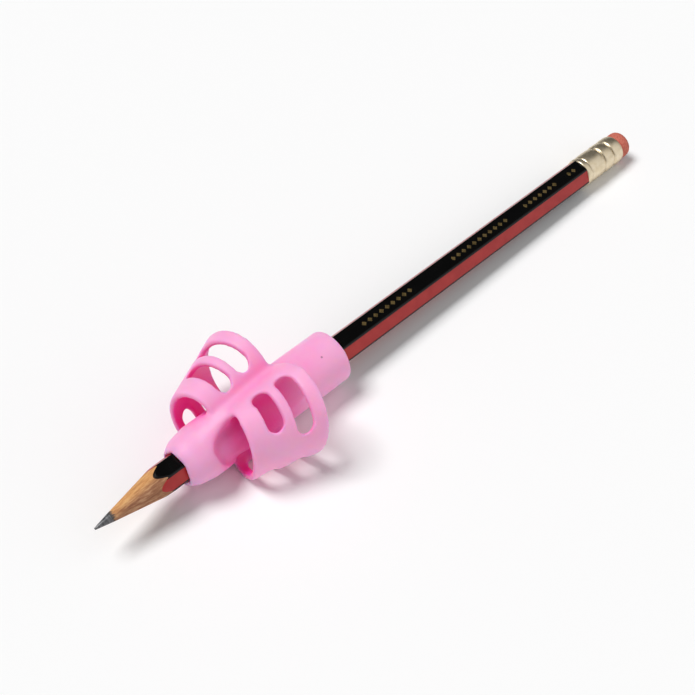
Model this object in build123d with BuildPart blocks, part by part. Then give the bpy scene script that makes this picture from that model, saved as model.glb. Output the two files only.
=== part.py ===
from build123d import *
import os
from math import atan2, cos, degrees, radians, sin, tan

# Finger-loop pencil grip on its pencil, lying on a table on its two loops and its ferrule.
# Lengths are in millimetres and angles in degrees. Stations run along the pencil from its point.

# Pencil
pencil_length = 184.0
across_flats = 7.0
corner_radius = 0.55
face_roll = 7.5
lacquer_thickness = 0.15
lead_diameter = 2.2
cone_half_angle = 10.4
worn_point_diameter = 0.7
glue_clearance = 0.02

# Ferrule and eraser
ferrule_length = 15.0
ferrule_diameter = 7.9
ferrule_wall = 0.3
ferrule_lip = 1.4
ferrule_groove_depth = 0.22
ferrule_long_band = 6.3
ferrule_short_bands = 2
tenon_length = 8.0
eraser_showing = 3.7
eraser_diameter = 7.2
eraser_worn_edge = 1.1

# Grip sleeve
grip_station = 23.2
grip_length = 48.3
nose_diameter = 9.6
nose_bend_length = 2.4
nose_bend_diameter = 12.0
nose_length = 6.5
sleeve_diameter = 13.5
bore_clearance = 0.1

# Finger loops, each a tapered band between a front ring and a rear ring
loop_wall = 1.5
loop_stagger = 2.8
front_ring_setback = 13.2
front_ring_out = 5.45
front_ring_rise = 1.4
front_ring_half_width = 7.55
front_ring_half_height = 9.9
front_ring_swing = 12.3
rear_ring_setback = 29.65
rear_ring_out = 8.6
rear_ring_rise = 3.75
rear_ring_half_width = 10.75
rear_ring_half_height = 11.75
rear_ring_swing = 7.2
rear_ring_lean = 7.7

# Slots through the loops, placed by their share of the loop's length and by the angles of their two
# ends, counted from straight out of the loop upwards
slot_width = 3.8
slot_corner = 1.1
slot_reach_share = 0.4
front_slot_share = 0.375
front_slot_angle = 36
rear_slot_share = 0.715
rear_slot_angle = 16
near_slot_end_angle = 107
far_slot_end_angle = 127
lower_front_slot_share = 0.27
lower_rear_slot_share = 0.70
lower_slot_angle = -26
lower_slot_end_angle = -101

# Fingertip dish in the near side of the sleeve, running back into the loop
dish_setback = 13.7
dish_angle = 12.9
dish_half_length = 7.5
dish_half_width = 5.0
dish_slant = 35.0
dish_floor_diameter = 10.6
dish_start_setback = 6.0
dish_floor_setback = 8.5
dish_floor_flare = 4.5
dish_margin = 0.2
finger_room_share = 1.6

# Ridge that fills the valley between the two loops, a round back that rises out of the sleeve
ridge_radius = 6.3
ridge_shift = -1.2
ridge_start_setback = 2.5
ridge_front_setback = 13.0
ridge_front_height = 9.3
ridge_rear_setback = 29.0
ridge_rear_height = 11.4
ridge_end_setback = 39.0

# Radii and stations worked out from the sizes above
wood_across_flats = across_flats - 2 * lacquer_thickness
half_across_corners = across_flats / (2 * cos(radians(30)))
cone_slope = tan(radians(cone_half_angle))
apex_station = -worn_point_diameter / 2 / cone_slope
cone_end = apex_station + half_across_corners / cone_slope
lead_radius = lead_diameter / 2
lead_shoulder = apex_station + lead_radius / cone_slope
ferrule_end = pencil_length - eraser_showing
ferrule_station = ferrule_end - ferrule_length
ferrule_radius = ferrule_diameter / 2
ferrule_groove_radius = ferrule_radius - ferrule_groove_depth
ferrule_bore_radius = ferrule_groove_radius - ferrule_wall
short_band_length = (ferrule_length - ferrule_lip - ferrule_long_band) / ferrule_short_bands
band_lengths = [ferrule_long_band] + [short_band_length] * ferrule_short_bands
tenon_radius = ferrule_bore_radius - glue_clearance
casing_end = ferrule_station + tenon_length
eraser_radius = eraser_diameter / 2
grip_end = grip_station + grip_length
front_ring_station = grip_station + front_ring_setback
rear_ring_station = grip_station + rear_ring_setback
dish_station = grip_station + dish_setback
dish_start = grip_station + dish_start_setback
dish_floor = grip_station + dish_floor_setback
dish_start_radius = sleeve_diameter / 2 + dish_margin
dish_floor_radius = dish_floor_diameter / 2
dish_end_radius = dish_floor_radius + (grip_end - dish_floor) * tan(radians(dish_floor_flare))
loop_drop = front_ring_half_height - front_ring_rise

# Rest on the table: the near loop's front ring and the ferrule's last band touch it
last_band_station = ferrule_end - short_band_length / 2
tilt = degrees(atan2(loop_drop - ferrule_radius, last_band_station - front_ring_station))
tip_height = front_ring_station * sin(radians(tilt)) + loop_drop * cos(radians(tilt))
along = Vector(cos(radians(tilt)), 0, -sin(radians(tilt)))
tip = Vector(-pencil_length / 2 * cos(radians(tilt)), 0, tip_height)

# Across the pencil: local x to the far side, local y up, local z along the pencil
cross_plane = Plane(origin=tip, x_dir=(0, 1, 0), z_dir=along)
# Beside the pencil: local x along it, local y up
side_plane = Plane(origin=tip, x_dir=along, z_dir=(0, -1, 0))
pencil_line = Axis(tip, along)

# Colours alternate from face to face, starting with the black face that lies uppermost
face_angle = 60
top_face_angle = 90 + face_roll
glue_normal = (
    cross_plane.x_dir * cos(radians(top_face_angle)) + cross_plane.y_dir * sin(radians(top_face_angle))
)
glue_plane = Plane(origin=tip, x_dir=along, z_dir=glue_normal)


def hexagon(station, flats, rounding):
    """Rounded hexagon of the pencil, turned as the pencil lies."""
    with BuildSketch(cross_plane.offset(station)) as section:
        RegularPolygon(flats / 2, 6, major_radius=False, rotation=face_roll)
        fillet(section.vertices(), rounding)
    return section.sketch


# Half section of what the sharpener and the ferrule machine leave of the casing
with BuildSketch(side_plane) as turned_section:
    with BuildLine():
        Polyline(
            (apex_station, 0),
            (cone_end, half_across_corners),
            (ferrule_station, half_across_corners),
            (ferrule_station, tenon_radius),
            (casing_end, tenon_radius),
            (casing_end, 0),
            close=True,
        )
    make_face()


def casing_half(kept):
    """One of the two grooved slats, shaped, sharpened and parted on the glue plane."""
    with BuildPart() as slat:
        extrude(hexagon(0, wood_across_flats, corner_radius - lacquer_thickness), amount=casing_end)
        revolve(turned_section.sketch, axis=pencil_line, mode=Mode.INTERSECT)
        with BuildSketch(cross_plane):
            Circle(lead_radius + glue_clearance)
        extrude(amount=casing_end, mode=Mode.SUBTRACT)
        split(bisect_by=glue_plane, keep=kept)
    return slat.part


def lacquer_strips(first_face):
    """Strips of one colour on every second face, ending in scallops where the cone cuts them."""
    with BuildPart() as strips:
        extrude(hexagon(0, across_flats, corner_radius), amount=ferrule_station)
        extrude(
            hexagon(0, wood_across_flats, corner_radius - lacquer_thickness),
            amount=ferrule_station,
            mode=Mode.SUBTRACT,
        )
        revolve(turned_section.sketch, axis=pencil_line, mode=Mode.INTERSECT)
        half_wedge = across_flats * tan(radians(face_angle / 2))
        with BuildSketch(cross_plane):
            with PolarLocations(0, 3, start_angle=top_face_angle + first_face * face_angle):
                Polygon((0, 0), (across_flats, -half_wedge), (across_flats, half_wedge), align=None)
        extrude(amount=ferrule_station, mode=Mode.INTERSECT)
    return strips.part


def between(front, rear, share):
    """Size of a loop a share of the way from its front ring to its rear ring."""
    return front + share * (rear - front)


def ring_plane(hand, share):
    """Plane of a loop's ring, a share of the way from its front ring to its rear ring."""
    stagger = loop_stagger if hand > 0 else 0
    out = between(front_ring_out, rear_ring_out, share)
    rise = between(front_ring_rise, rear_ring_rise, share)
    station = between(front_ring_station, rear_ring_station, share) - stagger
    swing = between(front_ring_swing, rear_ring_swing, share)
    place = Location((hand * out, rise, station), (share * rear_ring_lean, hand * swing, 0))
    return Plane(cross_plane * place)


def half_width(share, inset):
    """Half width of a loop's ring, drawn in by part of the wall."""
    return between(front_ring_half_width, rear_ring_half_width, share) - inset


def half_height(share, inset):
    """Half height of a loop's ring, drawn in by part of the wall."""
    return between(front_ring_half_height, rear_ring_half_height, share) - inset


def loop_taper(hand, end_share, inset):
    """Solid taper from a loop's front ring to a share of its length, drawn in by part of the wall."""
    with BuildPart() as taper:
        for share in (0, end_share):
            with BuildSketch(ring_plane(hand, share)):
                Ellipse(half_width(share, inset), half_height(share, inset))
        loft(ruled=True)
    return taper.part


def ring_point(hand, share, angle):
    """Point in the middle of a loop's wall, at an angle from straight out of the loop upwards."""
    ring = ring_plane(hand, share)
    out = ring.x_dir * hand * half_width(share, loop_wall / 2) * cos(radians(angle))
    rise = ring.y_dir * half_height(share, loop_wall / 2) * sin(radians(angle))
    return ring.origin + out + rise


def slot_cutter(hand, share, angle, end_angle):
    """Bar with blunted corners that cuts one slot square through a loop's wall."""
    start = ring_point(hand, share, angle)
    end = ring_point(hand, share, end_angle)
    chord = end - start
    through_wall = chord.cross(ring_plane(hand, share).z_dir)
    slot_plane = Plane(origin=(start + end) / 2, x_dir=chord, z_dir=through_wall)
    with BuildPart() as bar:
        with BuildSketch(slot_plane) as opening:
            Rectangle(chord.length, slot_width)
            chamfer(opening.vertices(), slot_corner)
        extrude(amount=chord.length * slot_reach_share, both=True)
    return bar.part


def finger_loop(hand, end_angle):
    """Band round one finger, open at both ends, with two slots above and two below."""
    outside = loop_taper(hand, 1, 0)
    inside = loop_taper(hand, 1, loop_wall)
    slots = (
        slot_cutter(hand, front_slot_share, front_slot_angle, end_angle),
        slot_cutter(hand, rear_slot_share, rear_slot_angle, end_angle),
        slot_cutter(hand, lower_front_slot_share, lower_slot_angle, lower_slot_end_angle),
        slot_cutter(hand, lower_rear_slot_share, lower_slot_angle, lower_slot_end_angle),
    )
    with BuildPart() as loop:
        add(outside)
        add(inside, mode=Mode.SUBTRACT)
        add(slots, mode=Mode.SUBTRACT)
    return loop.part


def finger_room(hand):
    """Room for one finger through a loop and behind it, reaching a little into the loop's wall."""
    return loop_taper(hand, finger_room_share, loop_wall - dish_margin)


# Half section of the wall that the near finger's room leaves round the pencil
with BuildSketch(side_plane) as floor_section:
    with BuildLine():
        Polyline(
            (0, 0),
            (0, dish_start_radius),
            (dish_start, dish_start_radius),
            (dish_floor, dish_floor_radius),
            (grip_end, dish_end_radius),
            (grip_end, 0),
            close=True,
        )
    make_face()

# Half section of the sleeve, with its nose drawn in round the pencil
with BuildSketch(side_plane) as sleeve_section:
    with BuildLine():
        Polyline(
            (grip_station, 0),
            (grip_station, nose_diameter / 2),
            (grip_station + nose_bend_length, nose_bend_diameter / 2),
            (grip_station + nose_length, sleeve_diameter / 2),
            (grip_end, sleeve_diameter / 2),
            (grip_end, 0),
            close=True,
        )
    make_face()

near_room = finger_room(-1)
far_room = finger_room(1)

# Dish and finger room in the near side of the sleeve
dish_up = cos(radians(dish_angle)) * cross_plane.y_dir + sin(radians(dish_angle)) * cross_plane.x_dir
dish_out = sin(radians(dish_angle)) * cross_plane.y_dir - cos(radians(dish_angle)) * cross_plane.x_dir
dish_line = dish_up * sin(radians(dish_slant)) - along * cos(radians(dish_slant))
dish_plane = Plane(origin=tip + along * dish_station, x_dir=dish_line, z_dir=dish_out)
with BuildPart() as near_dish:
    with BuildSketch(dish_plane):
        Ellipse(dish_half_length, dish_half_width)
    extrude(amount=sleeve_diameter)
    add(near_room)
    revolve(floor_section.sketch, axis=pencil_line, mode=Mode.SUBTRACT)

# Ridge, rising from the sleeve between the loops and falling to it again behind them
with BuildPart() as ridge:
    for setback, height, radius, shift in (
        (ridge_start_setback, dish_floor_radius, dish_floor_radius, 0),
        (ridge_front_setback, ridge_front_height, ridge_radius, ridge_shift),
        (ridge_rear_setback, ridge_rear_height, ridge_radius, ridge_shift),
        (ridge_end_setback, dish_floor_radius, dish_floor_radius, 0),
    ):
        with BuildSketch(cross_plane.offset(grip_station + setback)):
            with Locations((shift, height - radius)):
                Circle(radius)
    loft(ruled=True)
    add(far_room, mode=Mode.SUBTRACT)

near_loop = finger_loop(-1, near_slot_end_angle)
far_loop = finger_loop(1, far_slot_end_angle)

# Soft grip, one moulding
with BuildPart() as grip:
    revolve(sleeve_section.sketch, axis=pencil_line)
    add(ridge.part)
    add(near_dish.part, mode=Mode.SUBTRACT)
    add(near_loop)
    add(far_loop)
    extrude(
        hexagon(0, across_flats + 2 * bore_clearance, corner_radius + bore_clearance),
        amount=pencil_length,
        mode=Mode.SUBTRACT,
    )

# Lead, a fired rod sharpened with its casing to a slightly worn point
with BuildPart() as graphite_core:
    with BuildSketch(side_plane):
        with BuildLine():
            Polyline(
                (0, 0),
                (0, worn_point_diameter / 2),
                (lead_shoulder, lead_radius),
                (casing_end, lead_radius),
                (casing_end, 0),
                close=True,
            )
        make_face()
    revolve(axis=pencil_line)

# Ferrule, a thin sleeve rolled into a lip, a long rounded band and short ones
with BuildPart() as ferrule:
    with BuildSketch(side_plane):
        with BuildLine():
            Polyline(
                (ferrule_station, ferrule_groove_radius),
                (ferrule_station + ferrule_lip / 2, ferrule_radius),
                (ferrule_station + ferrule_lip, ferrule_groove_radius),
            )
            start = ferrule_station + ferrule_lip
            for band_length in band_lengths:
                ThreePointArc(
                    (start, ferrule_groove_radius),
                    (start + band_length / 2, ferrule_radius),
                    (start + band_length, ferrule_groove_radius),
                )
                start += band_length
            Polyline(
                (ferrule_end, ferrule_groove_radius),
                (ferrule_end, ferrule_bore_radius),
                (ferrule_station, ferrule_bore_radius),
                (ferrule_station, ferrule_groove_radius),
            )
        make_face()
    revolve(axis=pencil_line)

# Eraser, a rubber plug squeezed in the ferrule, swelling where it leaves it and worn off at its end
with BuildPart() as eraser:
    with BuildSketch(side_plane):
        with BuildLine():
            Polyline(
                (casing_end, 0),
                (casing_end, ferrule_bore_radius - glue_clearance),
                (ferrule_end, ferrule_bore_radius - glue_clearance),
                (ferrule_end, eraser_radius),
                (pencil_length - eraser_worn_edge, eraser_radius),
                (pencil_length, eraser_radius - eraser_worn_edge),
                (pencil_length, 0),
                close=True,
            )
        make_face()
    revolve(axis=pencil_line)

# Casing halves and the two colours of lacquer
upper_slat = casing_half(Keep.TOP)
lower_slat = casing_half(Keep.BOTTOM)
lacquer_black = lacquer_strips(0)
lacquer_red = lacquer_strips(1)

os.makedirs("parts", exist_ok=True)
grip.part.label = "grip"
export_step(grip.part, "parts/grip.step")
upper_slat.label = "upper_slat"
export_step(upper_slat, "parts/upper_slat.step")
lower_slat.label = "lower_slat"
export_step(lower_slat, "parts/lower_slat.step")
graphite_core.part.label = "graphite_core"
export_step(graphite_core.part, "parts/graphite_core.step")
lacquer_black.label = "lacquer_black"
export_step(lacquer_black, "parts/lacquer_black.step")
lacquer_red.label = "lacquer_red"
export_step(lacquer_red, "parts/lacquer_red.step")
ferrule.part.label = "ferrule"
export_step(ferrule.part, "parts/ferrule.step")
eraser.part.label = "eraser"
export_step(eraser.part, "parts/eraser.step")
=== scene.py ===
from math import atan2, cos, degrees, pi, radians, sin

import bpy
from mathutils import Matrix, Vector


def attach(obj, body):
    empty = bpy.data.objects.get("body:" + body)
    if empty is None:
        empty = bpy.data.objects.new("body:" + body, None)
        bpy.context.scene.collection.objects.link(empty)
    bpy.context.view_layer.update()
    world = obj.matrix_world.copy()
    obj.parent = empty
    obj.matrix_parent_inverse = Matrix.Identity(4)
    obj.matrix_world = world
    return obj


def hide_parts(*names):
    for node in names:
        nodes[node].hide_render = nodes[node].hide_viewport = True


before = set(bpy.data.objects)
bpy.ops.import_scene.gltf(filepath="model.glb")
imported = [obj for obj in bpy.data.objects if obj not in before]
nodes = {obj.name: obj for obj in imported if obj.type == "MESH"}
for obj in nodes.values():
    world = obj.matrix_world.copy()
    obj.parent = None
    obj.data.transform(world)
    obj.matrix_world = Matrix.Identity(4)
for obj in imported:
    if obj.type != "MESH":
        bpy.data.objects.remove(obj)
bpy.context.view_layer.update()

# Lead: a fired rod of graphite and clay, glued into the grooves of the casing. The sharpener turns its
# end to a cone with the wood round it, and writing wears the point round.
# Sizes are in millimetres until they are multiplied by MM, and stations are counted from the point.
MM = 0.001
PENCIL_LENGTH = 184.0
PENCIL_TILT = radians(1.8343)
FACE_ROLL = radians(7.5)
TIP_HEIGHT = 9.661
TIP = Vector((-PENCIL_LENGTH / 2 * cos(PENCIL_TILT), 0, TIP_HEIGHT)) * MM
ALONG = Vector((cos(PENCIL_TILT), 0, -sin(PENCIL_TILT)))
ACROSS = Vector((0, 1, 0))
UPWARDS = Vector((sin(PENCIL_TILT), 0, cos(PENCIL_TILT)))
LEAD_POINT_RADIUS = 0.24
LEAD_POINT_ROUNDING = 0.17
LEAD_RADIUS = 1.1
LEAD_SHOULDER = 4.09
LEAD_CORNERS = 48
CASING_END = 173.3
RING_REACH = 0.1
MERGE_DISTANCE = 0.002 * MM
SMOOTH_ANGLE = radians(40)


def linear(hex_colour):
    """Linear colour of an sRGB hex value."""
    channels = [int(hex_colour[i:i + 2], 16) / 255 for i in (1, 3, 5)]
    return [c / 12.92 if c <= 0.04045 else ((c + 0.055) / 1.055) ** 2.4 for c in channels] + [1]


def add(tree, kind, links=None, stops=None, **settings):
    """Add one node with its settings, set or link its inputs, and fill a ramp's sRGB stops."""
    made = tree.nodes.new(kind)
    for name, value in settings.items():
        setattr(made, name, value)
    for name, value in (links or {}).items():
        if isinstance(value, bpy.types.NodeSocket):
            tree.links.new(value, made.inputs[name])
        else:
            made.inputs[name].default_value = value
    if stops:
        points = made.color_ramp.elements
        for point, (place, colour) in zip(points, (stops[0], stops[-1])):
            point.position = place
            point.color = linear(colour)
        for place, colour in stops[1:-1]:
            points.new(place).color = linear(colour)
    return made


def finish_for(name):
    """New material of that name, with its node tree and its shader."""
    made = bpy.data.materials.new(name)
    made.use_nodes = True
    return made, made.node_tree, made.node_tree.nodes["Principled BSDF"]


def along_pencil(tree):
    """Millimetres along the pencil from its point, across its top face, and out of that face."""
    place = add(tree, "ShaderNodeTexCoord")
    return add(
        tree,
        "ShaderNodeMapping",
        {
            "Vector": place.outputs["Object"],
            "Location": TIP,
            "Rotation": (FACE_ROLL, PENCIL_TILT, 0),
            "Scale": (MM, MM, MM),
        },
        vector_type="TEXTURE",
    ).outputs[0]


def at(station):
    """Point on the pencil's middle line, by its millimetres from the tip."""
    return TIP + ALONG * station * MM


def station_of(point):
    """Millimetres from the pencil's tip to a point, along the pencil."""
    return (point - TIP).dot(ALONG) / MM


def pick(piece, station, reach):
    """Select a piece's points within reach of a station, and stay in edit mode."""
    bpy.ops.object.mode_set(mode="EDIT")
    bpy.ops.mesh.select_mode(type="VERT")
    bpy.ops.mesh.select_all(action="DESELECT")
    bpy.ops.object.mode_set(mode="OBJECT")
    for vertex in piece.data.vertices:
        vertex.select = abs(station_of(vertex.co) - station) <= reach
    bpy.ops.object.mode_set(mode="EDIT")


def draw_out(station, radius, profile):
    """Draw the selected ring out along the pencil, through pairs of a station and a radius."""
    for next_station, next_radius in profile:
        bpy.ops.mesh.extrude_region_move(
            TRANSFORM_OT_translate={"value": ALONG * (next_station - station) * MM}
        )
        bpy.ops.transform.resize(value=[next_radius / radius] * 3, center_override=at(next_station))
        station, radius = next_station, next_radius


def settle(piece, finish, body, node_name):
    """Close a piece, shade it, give it its finish, and let it stand for its CAD node."""
    bpy.ops.object.mode_set(mode="EDIT")
    bpy.ops.mesh.select_all(action="SELECT")
    bpy.ops.mesh.remove_doubles(threshold=MERGE_DISTANCE)
    bpy.ops.mesh.normals_make_consistent(inside=False)
    bpy.ops.object.mode_set(mode="OBJECT")
    bpy.ops.object.shade_smooth_by_angle(angle=SMOOTH_ANGLE)
    piece.data.materials.clear()
    piece.data.materials.append(finish)
    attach(piece, body)
    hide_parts(node_name)


# Burnished graphite is a dark grey with a metallic sheen. The blade leaves rings about 0.4 mm apart.
graphite, tree, shader = finish_for("sharpened_graphite")
mm = along_pencil(tree)
place = add(tree, "ShaderNodeMapping", {"Vector": mm, "Scale": (2.5, 0.6, 0.6)})
rings = add(tree, "ShaderNodeTexNoise", {"Vector": place.outputs[0], "Scale": 1.0, "Detail": 3.0})
shades = add(
    tree,
    "ShaderNodeValToRGB",
    {"Fac": rings.outputs["Fac"]},
    stops=((0.3, "#4e4e50"), (0.7, "#7a7a7c")),
)
tree.links.new(shades.outputs[0], shader.inputs["Base Color"])
shader.inputs["Metallic"].default_value = 0.8
shader.inputs["Roughness"].default_value = 0.42
bump = add(
    tree,
    "ShaderNodeBump",
    {"Height": rings.outputs["Fac"], "Strength": 0.3, "Distance": 0.08 * MM},
)
tree.links.new(bump.outputs[0], shader.inputs["Normal"])

bpy.ops.object.select_all(action="DESELECT")
bpy.ops.mesh.primitive_cone_add(
    vertices=LEAD_CORNERS,
    radius1=LEAD_POINT_RADIUS * MM,
    radius2=LEAD_RADIUS * MM,
    depth=LEAD_SHOULDER * MM,
    location=at(LEAD_SHOULDER / 2),
    rotation=ALONG.to_track_quat("Z", "Y").to_euler(),
)
lead = bpy.context.object
lead.name = "lead"
bpy.ops.object.transform_apply()
pick(lead, LEAD_SHOULDER, RING_REACH)
draw_out(LEAD_SHOULDER, LEAD_RADIUS, ((CASING_END, LEAD_RADIUS),))
pick(lead, 0, RING_REACH)
bpy.ops.mesh.bevel(offset=LEAD_POINT_ROUNDING * MM, segments=4, affect="EDGES")
settle(lead, graphite, "pencil", "graphite_core")

# Casing: two grooved slats of soft straight-grained wood, glued together round the lead. The sharpener
# lays the grain open on the cone, with darker streaks and fine torn fibres.
casing_wood, tree, shader = finish_for("sharpened_cedar")
mm = along_pencil(tree)
# Growth rings cut at a slant show as streaks about 0.8 mm wide and 12 mm long
place = add(tree, "ShaderNodeMapping", {"Vector": mm, "Scale": (0.08, 1.25, 1.25)})
streaks = add(
    tree,
    "ShaderNodeTexNoise",
    {"Vector": place.outputs[0], "Scale": 1.0, "Detail": 2.0, "Roughness": 0.5},
)
# Torn fibres, drawn about 0.3 mm wide and 1.5 mm long, which is as fine as shows
place = add(tree, "ShaderNodeMapping", {"Vector": mm, "Scale": (0.65, 3.3, 3.3)})
fibres = add(tree, "ShaderNodeTexNoise", {"Vector": place.outputs[0], "Scale": 1.0, "Detail": 3.0})
grain = add(tree, "ShaderNodeMix", {0: 0.4, 2: streaks.outputs["Fac"], 3: fibres.outputs["Fac"]})
# Lit and shaded copies of the wood's grain colours, used for the painted light below
painted_lit_wood = add(
    tree,
    "ShaderNodeValToRGB",
    {"Fac": grain.outputs[0]},
    stops=((0.36, "#bd8454"), (0.5, "#d29860"), (0.64, "#e0b076")),
)
painted_shaded_wood = add(
    tree,
    "ShaderNodeValToRGB",
    {"Fac": grain.outputs[0]},
    stops=((0.36, "#885a42"), (0.5, "#a07052"), (0.64, "#bd906e")),
)
# Painted light: the casing's far side, towards the lamp, is painted golden and its near side, in
# shade, a redder brown, with a wavy edge between them
parts = add(tree, "ShaderNodeSeparateXYZ", {0: mm})
wavy = add(
    tree,
    "ShaderNodeMath",
    {0: streaks.outputs["Fac"], 1: 1.6, 2: parts.outputs["Y"]},
    operation="MULTIPLY_ADD",
)
painted_lit_share = add(tree, "ShaderNodeMapRange", {"Value": wavy.outputs[0], "From Min": -0.5, "From Max": 1.3})
woods_with_painted_light = add(
    tree,
    "ShaderNodeMix",
    {0: painted_lit_share.outputs[0], 6: painted_shaded_wood.outputs[0], 7: painted_lit_wood.outputs[0]},
    data_type="RGBA",
)
# Graphite is dragged on to the wood in a ragged ring next to the lead
dragged = add(
    tree,
    "ShaderNodeMath",
    {0: fibres.outputs["Fac"], 1: -2.4, 2: parts.outputs["X"]},
    operation="MULTIPLY_ADD",
)
clean = add(
    tree,
    "ShaderNodeMapRange",
    {"Value": dragged.outputs[0], "From Min": LEAD_SHOULDER - 0.75, "From Max": LEAD_SHOULDER - 0.35},
)
colour = add(
    tree,
    "ShaderNodeMix",
    {0: clean.outputs[0], 6: linear("#56504d"), 7: woods_with_painted_light.outputs[2]},
    data_type="RGBA",
)
tree.links.new(colour.outputs[2], shader.inputs["Base Color"])
shader.inputs["Roughness"].default_value = 0.75
shader.inputs["Specular IOR Level"].default_value = 0.2
bump = add(
    tree,
    "ShaderNodeBump",
    {"Height": fibres.outputs["Fac"], "Strength": 0.6, "Distance": 0.12 * MM},
)
tree.links.new(bump.outputs[0], shader.inputs["Normal"])
for name in ("upper_slat", "lower_slat"):
    nodes[name].data.materials.clear()
    nodes[name].data.materials.append(casing_wood)

# Lacquer: several dipped coats, black and red by turns on the six faces, cut back in scallops by the
# sharpener. It is glossy, and a worn gold foil ornament is pressed into the uppermost black face.
LOZENGE_PITCH = 2.0
LOZENGE_HALF_LENGTH = 0.75
LOZENGE_HALF_HEIGHT = 0.7
FOIL_RUNS = ((81, 99), (113, 135), (141, 155), (159, 163))
TOP_FACE_HEIGHT = 2.5
black_lacquer, tree, shader = finish_for("black_lacquer")
mm = along_pencil(tree)
parts = add(tree, "ShaderNodeSeparateXYZ", {0: mm})
# A row of small solid lozenges, one to each pitch along the face
beside = add(
    tree,
    "ShaderNodeMath",
    {0: parts.outputs["X"], 1: LOZENGE_PITCH / 2},
    operation="PINGPONG",
)
height = add(tree, "ShaderNodeMath", {0: parts.outputs["Y"]}, operation="ABSOLUTE")
slant = add(
    tree,
    "ShaderNodeMath",
    {0: height.outputs[0], 1: LOZENGE_HALF_LENGTH / LOZENGE_HALF_HEIGHT, 2: beside.outputs[0]},
    operation="MULTIPLY_ADD",
)
chain = add(
    tree,
    "ShaderNodeMath",
    {0: slant.outputs[0], 1: LOZENGE_HALF_LENGTH},
    operation="LESS_THAN",
)
# The row is stamped in four runs, on the top face alone
share = add(tree, "ShaderNodeMath", {0: parts.outputs["X"], 1: PENCIL_LENGTH}, operation="DIVIDE")
edges = [(0, "#000000")]
for first, last in FOIL_RUNS:
    edges += [(first / PENCIL_LENGTH, "#ffffff"), (last / PENCIL_LENGTH, "#000000")]
runs = add(tree, "ShaderNodeValToRGB", {"Fac": share.outputs[0]}, stops=edges)
runs.color_ramp.interpolation = "CONSTANT"
on_top = add(
    tree,
    "ShaderNodeMath",
    {0: parts.outputs["Z"], 1: TOP_FACE_HEIGHT},
    operation="GREATER_THAN",
)
# The foil has rubbed thin in patches about 2 mm across
rubbed = add(tree, "ShaderNodeTexNoise", {"Vector": mm, "Scale": 0.5, "Detail": 2.0})
left = add(
    tree,
    "ShaderNodeMapRange",
    {"Value": rubbed.outputs["Fac"], "From Min": 0.3, "From Max": 0.6, "To Min": 0.25, "To Max": 0.9},
)
foil = chain.outputs[0]
for mask in (runs.outputs[0], on_top.outputs[0], left.outputs[0]):
    foil = add(tree, "ShaderNodeMath", {0: foil, 1: mask}, operation="MULTIPLY").outputs[0]
colour = add(
    tree,
    "ShaderNodeMix",
    {0: foil, 6: linear("#030303"), 7: linear("#a88f5c")},
    data_type="RGBA",
)
tree.links.new(colour.outputs[2], shader.inputs["Base Color"])
tree.links.new(foil, shader.inputs["Metallic"])
# Coats settle unevenly over about 3 mm
settled = add(tree, "ShaderNodeTexNoise", {"Vector": mm, "Scale": 0.3, "Detail": 2.0})
gloss = add(
    tree,
    "ShaderNodeMapRange",
    {"Value": settled.outputs["Fac"], "To Min": 0.2, "To Max": 0.32},
)
tree.links.new(gloss.outputs[0], shader.inputs["Roughness"])
shader.inputs["Specular IOR Level"].default_value = 0.22
nodes["lacquer_black"].data.materials.clear()
nodes["lacquer_black"].data.materials.append(black_lacquer)

# Red strips, which the black overlaps a little at each corner of the hexagon
BLACK_OVERLAP_ANGLE = radians(24.4)
OVERLAP_BLUR = 0.008
FACE_ANGLE = radians(60)
red_lacquer, tree, shader = finish_for("red_lacquer")
mm = along_pencil(tree)
parts = add(tree, "ShaderNodeSeparateXYZ", {0: mm})
angle = add(
    tree,
    "ShaderNodeMath",
    {0: parts.outputs["Y"], 1: parts.outputs["Z"]},
    operation="ARCTAN2",
)
from_red = add(tree, "ShaderNodeMath", {0: angle.outputs[0], 1: FACE_ANGLE}, operation="SUBTRACT")
turn = add(
    tree,
    "ShaderNodeMath",
    {0: from_red.outputs[0], 1: FACE_ANGLE, 2: -FACE_ANGLE},
    operation="WRAP",
)
off_middle = add(tree, "ShaderNodeMath", {0: turn.outputs[0]}, operation="ABSOLUTE")
overlap = add(
    tree,
    "ShaderNodeMapRange",
    {
        "Value": off_middle.outputs[0],
        "From Min": BLACK_OVERLAP_ANGLE - OVERLAP_BLUR,
        "From Max": BLACK_OVERLAP_ANGLE + OVERLAP_BLUR,
    },
)
settled = add(tree, "ShaderNodeTexNoise", {"Vector": mm, "Scale": 0.3, "Detail": 2.0})
reds = add(
    tree,
    "ShaderNodeValToRGB",
    {"Fac": settled.outputs["Fac"]},
    stops=((0.3, "#a42828"), (0.7, "#b03230")),
)
colour = add(
    tree,
    "ShaderNodeMix",
    {0: overlap.outputs[0], 6: reds.outputs[0], 7: linear("#0a090a")},
    data_type="RGBA",
)
tree.links.new(colour.outputs[2], shader.inputs["Base Color"])
gloss = add(
    tree,
    "ShaderNodeMapRange",
    {"Value": settled.outputs["Fac"], "To Min": 0.24, "To Max": 0.4},
)
tree.links.new(gloss.outputs[0], shader.inputs["Roughness"])
shader.inputs["Specular IOR Level"].default_value = 0.25
nodes["lacquer_red"].data.materials.clear()
nodes["lacquer_red"].data.materials.append(red_lacquer)

# Ferrule: a strip of thin gold lacquered aluminium, rolled into a sleeve with a lip, one long band and
# two short ones, and crimped on the turned-down end of the casing and on the eraser.
FERRULE_START = 165.3
FERRULE_END = 180.3
FERRULE_RADIUS = 3.95
FERRULE_GROOVE_RADIUS = 3.62
FERRULE_BORE_RADIUS = 3.43
FERRULE_GROOVES = (167.1, 173.0, 176.65, 180.3)
FERRULE_CORNERS = 64
BAND_STEPS = 10
BAND_FULLNESS = 0.4
CRIMPS = 8
CRIMP_SHARE = 0.4
CRIMP_REACH = 0.3
CRIMP_DEPTH = 0.13
ferrule_metal, tree, shader = finish_for("gold_lacquered_aluminium")
mm = along_pencil(tree)
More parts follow.
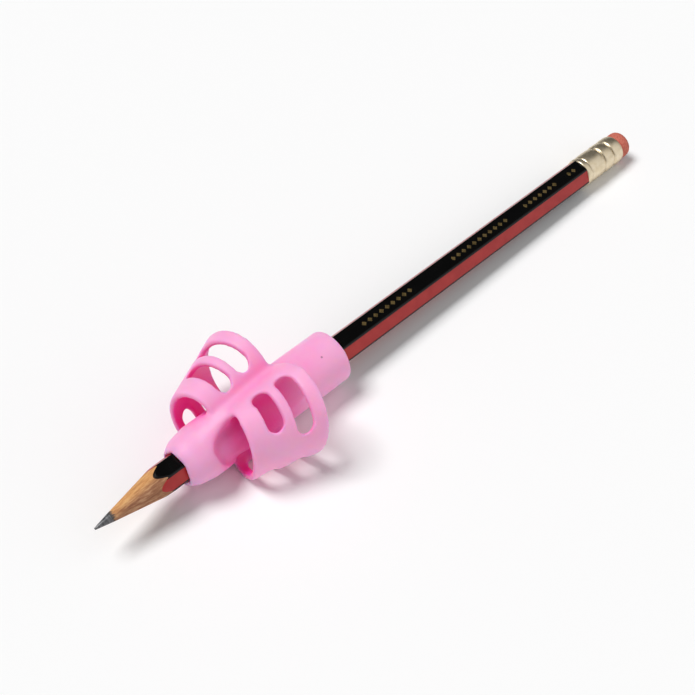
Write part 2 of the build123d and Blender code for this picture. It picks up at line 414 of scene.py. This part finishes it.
# Handling marks about 1 mm across dull the lacquer
marks = add(tree, "ShaderNodeTexNoise", {"Vector": mm, "Scale": 1.0, "Detail": 4.0})
shades = add(
    tree,
    "ShaderNodeValToRGB",
    {"Fac": marks.outputs["Fac"]},
    stops=((0.3, "#dccbaa"), (0.7, "#eadcc2")),
)
tree.links.new(shades.outputs[0], shader.inputs["Base Color"])
shader.inputs["Metallic"].default_value = 1.0
dulled = add(
    tree,
    "ShaderNodeMapRange",
    {"Value": marks.outputs["Fac"], "To Min": 0.3, "To Max": 0.46},
)
tree.links.new(dulled.outputs[0], shader.inputs["Roughness"])

bpy.ops.object.select_all(action="DESELECT")
bpy.ops.mesh.primitive_circle_add(
    vertices=FERRULE_CORNERS,
    radius=FERRULE_GROOVE_RADIUS * MM,
    location=at(FERRULE_START),
    rotation=ALONG.to_track_quat("Z", "Y").to_euler(),
)
ferrule = bpy.context.object
ferrule.name = "rolled_ferrule"
bpy.ops.object.transform_apply()
bpy.ops.object.mode_set(mode="EDIT")
bpy.ops.mesh.select_all(action="SELECT")
profile = []
for first, last in zip((FERRULE_START,) + FERRULE_GROOVES, FERRULE_GROOVES):
    for step in range(1, BAND_STEPS + 1):
        share = (1 - cos(pi * step / BAND_STEPS)) / 2
        bulge = (FERRULE_RADIUS - FERRULE_GROOVE_RADIUS) * (4 * share * (1 - share)) ** BAND_FULLNESS
        profile.append((first + share * (last - first), FERRULE_GROOVE_RADIUS + bulge))
profile += [
    (FERRULE_END, FERRULE_BORE_RADIUS),
    (FERRULE_START, FERRULE_BORE_RADIUS),
    (FERRULE_START, FERRULE_GROOVE_RADIUS),
]
draw_out(FERRULE_START, FERRULE_GROOVE_RADIUS, profile)

# Crimp marks stand round each of the two grooves between the bands
for groove in FERRULE_GROOVES[1:3]:
    pick(ferrule, groove, CRIMP_REACH)
    bpy.ops.object.mode_set(mode="OBJECT")
    for vertex in ferrule.data.vertices:
        if vertex.select:
            away = vertex.co - at(groove)
            turn = atan2(away.dot(UPWARDS), away.dot(ACROSS)) / (2 * pi)
            vertex.select = (turn * CRIMPS) % 1 < CRIMP_SHARE
    bpy.ops.object.mode_set(mode="EDIT")
    squeeze = 1 - CRIMP_DEPTH / FERRULE_RADIUS
    bpy.ops.transform.resize(value=[squeeze] * 3, center_override=at(groove))
settle(ferrule, ferrule_metal, "pencil", "ferrule")

# Eraser: an extruded plug of brick red rubber with a little pumice, squeezed into the ferrule. It
# swells where it leaves the metal, and rubbing has worn its end round and grubby.
ERASER_PLUG_RADIUS = 3.41
ERASER_RADIUS = 3.6
ERASER_SWELL_LENGTH = 0.3
ERASER_WORN_EDGE = 1.25
eraser_rubber, tree, shader = finish_for("eraser_rubber")
mm = along_pencil(tree)
# Pumice grains, drawn about 0.5 mm across to show
grains = add(tree, "ShaderNodeTexNoise", {"Vector": mm, "Scale": 2.0, "Detail": 4.0})
reds = add(
    tree,
    "ShaderNodeValToRGB",
    {"Fac": grains.outputs["Fac"]},
    stops=((0.3, "#b2564a"), (0.5, "#c46a5a"), (0.7, "#cf7c68")),
)
parts = add(tree, "ShaderNodeSeparateXYZ", {0: mm})
ragged = add(
    tree,
    "ShaderNodeMath",
    {0: grains.outputs["Fac"], 1: 1.4, 2: parts.outputs["X"]},
    operation="MULTIPLY_ADD",
)
smudge = add(
    tree,
    "ShaderNodeMapRange",
    {
        "Value": ragged.outputs[0],
        "From Min": PENCIL_LENGTH - 0.6,
        "From Max": PENCIL_LENGTH + 0.8,
        "To Max": 0.75,
    },
)
colour = add(
    tree,
    "ShaderNodeMix",
    {0: smudge.outputs[0], 6: reds.outputs[0], 7: linear("#6e4640")},
    data_type="RGBA",
)
tree.links.new(colour.outputs[2], shader.inputs["Base Color"])
shader.inputs["Roughness"].default_value = 0.85
shader.inputs["Specular IOR Level"].default_value = 0.25
bump = add(
    tree,
    "ShaderNodeBump",
    {"Height": grains.outputs["Fac"], "Strength": 0.4, "Distance": 0.1 * MM},
)
tree.links.new(bump.outputs[0], shader.inputs["Normal"])

bpy.ops.object.select_all(action="DESELECT")
bpy.ops.mesh.primitive_cylinder_add(
    vertices=FERRULE_CORNERS,
    radius=ERASER_PLUG_RADIUS * MM,
    depth=(FERRULE_END - CASING_END) * MM,
    location=at((FERRULE_END + CASING_END) / 2),
    rotation=ALONG.to_track_quat("Z", "Y").to_euler(),
)
eraser = bpy.context.object
eraser.name = "eraser_plug"
bpy.ops.object.transform_apply()
pick(eraser, FERRULE_END, RING_REACH)
draw_out(
    FERRULE_END,
    ERASER_PLUG_RADIUS,
    ((FERRULE_END + ERASER_SWELL_LENGTH, ERASER_RADIUS), (PENCIL_LENGTH, ERASER_RADIUS)),
)
pick(eraser, PENCIL_LENGTH, RING_REACH)
bpy.ops.mesh.bevel(offset=ERASER_WORN_EDGE * MM, segments=7, affect="EDGES")
settle(eraser, eraser_rubber, "pencil", "eraser")

# Grip: one moulding of soft pink silicone, pushed over the point on to the casing. It has two slotted
# finger loops and a fingertip dish, and the mould rounds every edge.
GRIP_VOXEL = 0.3 * MM
GATE_MARK = (65.4, -1.92, 6.47)
BORE_REACH = 4.2
FILLET_RADIUS = 0.8
# The dish's turn and spread are degrees round the pencil, and its rim is a share of the oval
DISH_STATION = 38.5
DISH_REACH = 8.7
DISH_TURN = 150
DISH_SPREAD = 40
DISH_FLOOR = 5.45
DISH_LIP = 10.5
DISH_BACK = 39.3
DISH_SQUARENESS = 2.5
DISH_RIM = 0.8
# Each pair says where the smoothing of the crease sets in, and where it is full
CREASE_SIDE = (-7, -5.5)
CREASE_MIDDLE = (0, -1.2)
CREASE_HEIGHT = (5.5, 6.5)
CREASE_FRONT = (28, 31)
CREASE_REAR = (60, 56)
ROUNDING_PASSES = 8
BLENDING_PASSES = 75
PAINTED_SHADE_REACH = 14 * MM
silicone, tree, shader = finish_for("pink_silicone")
mm = along_pencil(tree)
# Pigment drifts by a hair over about 8 mm. Painted shade: the hollows, found by ambient occlusion
# within 14 mm, are painted a deeper hot pink
drift = add(tree, "ShaderNodeTexNoise", {"Vector": mm, "Scale": 0.12, "Detail": 2.0})
outside = add(
    tree,
    "ShaderNodeValToRGB",
    {"Fac": drift.outputs["Fac"]},
    stops=((0.3, "#ffaad4"), (0.7, "#ffb2da")),
)
openness = add(
    tree,
    "ShaderNodeAmbientOcclusion",
    {"Distance": PAINTED_SHADE_REACH},
    only_local=True,
    samples=12,
)
unshaded_share = add(
    tree,
    "ShaderNodeMapRange",
    {"Value": openness.outputs["AO"], "From Min": 0.3, "From Max": 1.0},
)
# Painted shade: where the ambient occlusion finds the skin closed in, its colour turns to hot pink
pinks_with_painted_shade = add(
    tree,
    "ShaderNodeMix",
    {0: unshaded_share.outputs[0], 6: linear("#ff34ac"), 7: outside.outputs[0]},
    data_type="RGBA",
)
# The mould's gate leaves a dark speck on the rear of the sleeve, drawn 0.5 mm across to show
from_gate = add(tree, "ShaderNodeVectorMath", {0: mm, 1: GATE_MARK}, operation="DISTANCE")
speck = add(
    tree,
    "ShaderNodeMapRange",
    {
        "Value": from_gate.outputs["Value"],
        "From Min": 0.15,
        "From Max": 0.35,
        "To Min": 0.7,
        "To Max": 0,
    },
)
marked = add(
    tree,
    "ShaderNodeMix",
    {0: speck.outputs[0], 6: pinks_with_painted_shade.outputs[2], 7: linear("#8a3a62")},
    data_type="RGBA",
)
tree.links.new(marked.outputs[2], shader.inputs["Base Color"])
shader.inputs["Roughness"].default_value = 0.5
shader.inputs["Specular IOR Level"].default_value = 0.5
shader.inputs["Subsurface Weight"].default_value = 1.0
shader.inputs["Subsurface Radius"].default_value = (1.0, 0.2, 0.4)
shader.inputs["Subsurface Scale"].default_value = 2.0 * MM

bpy.ops.object.select_all(action="DESELECT")
grip = bpy.data.objects.new("silicone_grip", nodes["grip"].data.copy())
bpy.context.collection.objects.link(grip)
bpy.context.view_layer.objects.active = grip
grip.select_set(True)
bpy.ops.object.mode_set(mode="EDIT")
bpy.ops.mesh.select_all(action="SELECT")
bpy.ops.mesh.remove_doubles(threshold=MERGE_DISTANCE)
bpy.ops.object.mode_set(mode="OBJECT")


def fade(value, start, end):
    """How far a value has gone from start to end, kept between nought and one."""
    return min(1, max(0, (value - start) / (end - start)))


def skin_evenly():
    """Lay an even skin of small faces over the grip."""
    remesh = grip.modifiers.new("even_skin", "REMESH")
    remesh.mode = "VOXEL"
    remesh.voxel_size = GRIP_VOXEL
    bpy.ops.object.modifier_apply(modifier=remesh.name)


def swell(distance):
    """Move the skin outwards, all but the bore, which has to clear the casing."""
    loose = grip.vertex_groups.new(name="loose")
    for vertex in grip.data.vertices:
        away = (vertex.co - at(station_of(vertex.co))).length / MM
        loose.add([vertex.index], fade(away, BORE_REACH, BORE_REACH + 1), "REPLACE")
    displace = grip.modifiers.new("swell", "DISPLACE")
    displace.mid_level = 0
    displace.strength = distance * MM
    displace.vertex_group = loose.name
    bpy.ops.object.modifier_apply(modifier=displace.name)
    grip.vertex_groups.clear()


# The fingertip dish is pressed in as an oval, which runs back under the near loop
skin_evenly()
for vertex in grip.data.vertices:
    station = station_of(vertex.co)
    away = vertex.co - at(station)
    turn = degrees(atan2(away.dot(UPWARDS), away.dot(ACROSS)))
    lengthwise = abs((station - DISH_STATION) / DISH_REACH) ** DISH_SQUARENESS
    oval = lengthwise + abs((turn - DISH_TURN) / DISH_SPREAD) ** DISH_SQUARENESS
    if turn < DISH_TURN and oval < 1 and DISH_FLOOR < away.length / MM < DISH_LIP:
        spared = max(fade(oval, DISH_RIM, 1), fade(station, DISH_BACK - 1, DISH_BACK))
        sunk = DISH_FLOOR + (away.length / MM - DISH_FLOOR) * spared
        vertex.co = at(station) + away.normalized() * sunk * MM

# Inner corners are filled to the mould's radius, by swelling the skin and drawing it back
skin_evenly()
swell(FILLET_RADIUS)
skin_evenly()
swell(-FILLET_RADIUS)
skin_evenly()

# Outer edges are rounded, and the near loop's top runs into the ridge with no crease
rounded = grip.vertex_groups.new(name="rounded")
blended = grip.vertex_groups.new(name="blended")
for vertex in grip.data.vertices:
    station = station_of(vertex.co)
    away = (vertex.co - at(station)) / MM
    rounded.add([vertex.index], fade(away.length, BORE_REACH, BORE_REACH + 0.5), "REPLACE")
    side, up = away.dot(ACROSS), away.dot(UPWARDS)
    crease = fade(side, *CREASE_SIDE) * fade(side, *CREASE_MIDDLE) * fade(up, *CREASE_HEIGHT)
    crease *= fade(station, *CREASE_FRONT) * fade(station, *CREASE_REAR)
    blended.add([vertex.index], crease, "REPLACE")
for group, passes in ((rounded, ROUNDING_PASSES), (blended, BLENDING_PASSES)):
    smooth = grip.modifiers.new(group.name, "SMOOTH")
    smooth.factor = 0.5
    smooth.iterations = passes
    smooth.vertex_group = group.name
    bpy.ops.object.modifier_apply(modifier=smooth.name)
bpy.ops.object.shade_smooth()
grip.data.materials.clear()
grip.data.materials.append(silicone)
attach(grip, "grip")
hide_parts("grip")

# Table: a plain white sheet that runs far past the view, so the part lies on nothing else.
SHEET_SIZE = 12
paper, tree, shader = finish_for("white_paper")
shader.inputs["Base Color"].default_value = linear("#f6f6f6")
shader.inputs["Roughness"].default_value = 0.9
shader.inputs["Specular IOR Level"].default_value = 0.0
bpy.ops.object.select_all(action="DESELECT")
bpy.ops.mesh.primitive_plane_add(size=SHEET_SIZE, location=(0, 0, 0))
floor = bpy.context.object
floor.name = "white_sheet"
floor.data.materials.append(paper)

# Light: a large soft lamp high on the left, a pale room that is brightest on the near side, and a dark
# gap in it beyond the pencil, which the lacquer and the ferrule mirror.
TO_LAMP = Vector((-0.30, 0.40, 1)).normalized()
TO_BRIGHT_WALL = Vector((0.35, -0.75, 0.55)).normalized()
TO_DARK_GAP = Vector((0.47, 0.40, 0.78)).normalized()
LAMP_SPREAD = radians(26)
LAMP_STRENGTH = 2.57
world = bpy.data.worlds.new("studio")
world.use_nodes = True
tree = world.node_tree
looking = add(tree, "ShaderNodeTexCoord").outputs["Generated"]
facing_wall = add(
    tree,
    "ShaderNodeVectorMath",
    {0: looking, 1: TO_BRIGHT_WALL},
    operation="DOT_PRODUCT",
)
facing_gap = add(
    tree,
    "ShaderNodeVectorMath",
    {0: looking, 1: TO_DARK_GAP},
    operation="DOT_PRODUCT",
)
wall = add(
    tree,
    "ShaderNodeMapRange",
    {
        "Value": facing_wall.outputs["Value"],
        "From Min": 0.45,
        "From Max": 0.95,
        "To Min": 0.1,
        "To Max": 0.9,
    },
    interpolation_type="SMOOTHSTEP",
)
gap = add(
    tree,
    "ShaderNodeMapRange",
    {
        "Value": facing_gap.outputs["Value"],
        "From Min": 0.85,
        "From Max": 0.97,
        "To Min": 1.0,
        "To Max": 0.6,
    },
    interpolation_type="SMOOTHSTEP",
)
room = add(tree, "ShaderNodeMath", {0: wall.outputs[0], 1: gap.outputs[0]}, operation="MULTIPLY")
tree.links.new(room.outputs[0], tree.nodes["Background"].inputs["Strength"])
tree.nodes["Background"].inputs["Color"].default_value = (1, 1, 1, 1)
bpy.context.scene.world = world
bpy.ops.object.light_add(type="SUN", location=TO_LAMP)
lamp = bpy.context.object
lamp.name = "soft_lamp"
lamp.data.angle = LAMP_SPREAD
lamp.data.energy = LAMP_STRENGTH
lamp.rotation_euler = (-TO_LAMP).to_track_quat("-Z", "Y").to_euler()

# Camera: the photograph's place, looking down along the pencil from its point.
CAMERA_PLACE = Vector((-181.185, -162.762, 270.781)) * MM
CAMERA_AIM = Vector((0.47105, 0.46158, -0.75170))
SENSOR_WIDTH = 36
LENS_LENGTH = 76.30
bpy.ops.object.camera_add(location=CAMERA_PLACE)
camera = bpy.context.object
camera.rotation_euler = CAMERA_AIM.to_track_quat("-Z", "Y").to_euler()
camera.data.sensor_width = SENSOR_WIDTH
camera.data.lens = LENS_LENGTH
camera.data.clip_start = 0.01
camera.data.clip_end = 50
bpy.context.scene.camera = camera
bpy.context.scene.view_settings.view_transform = "Standard"
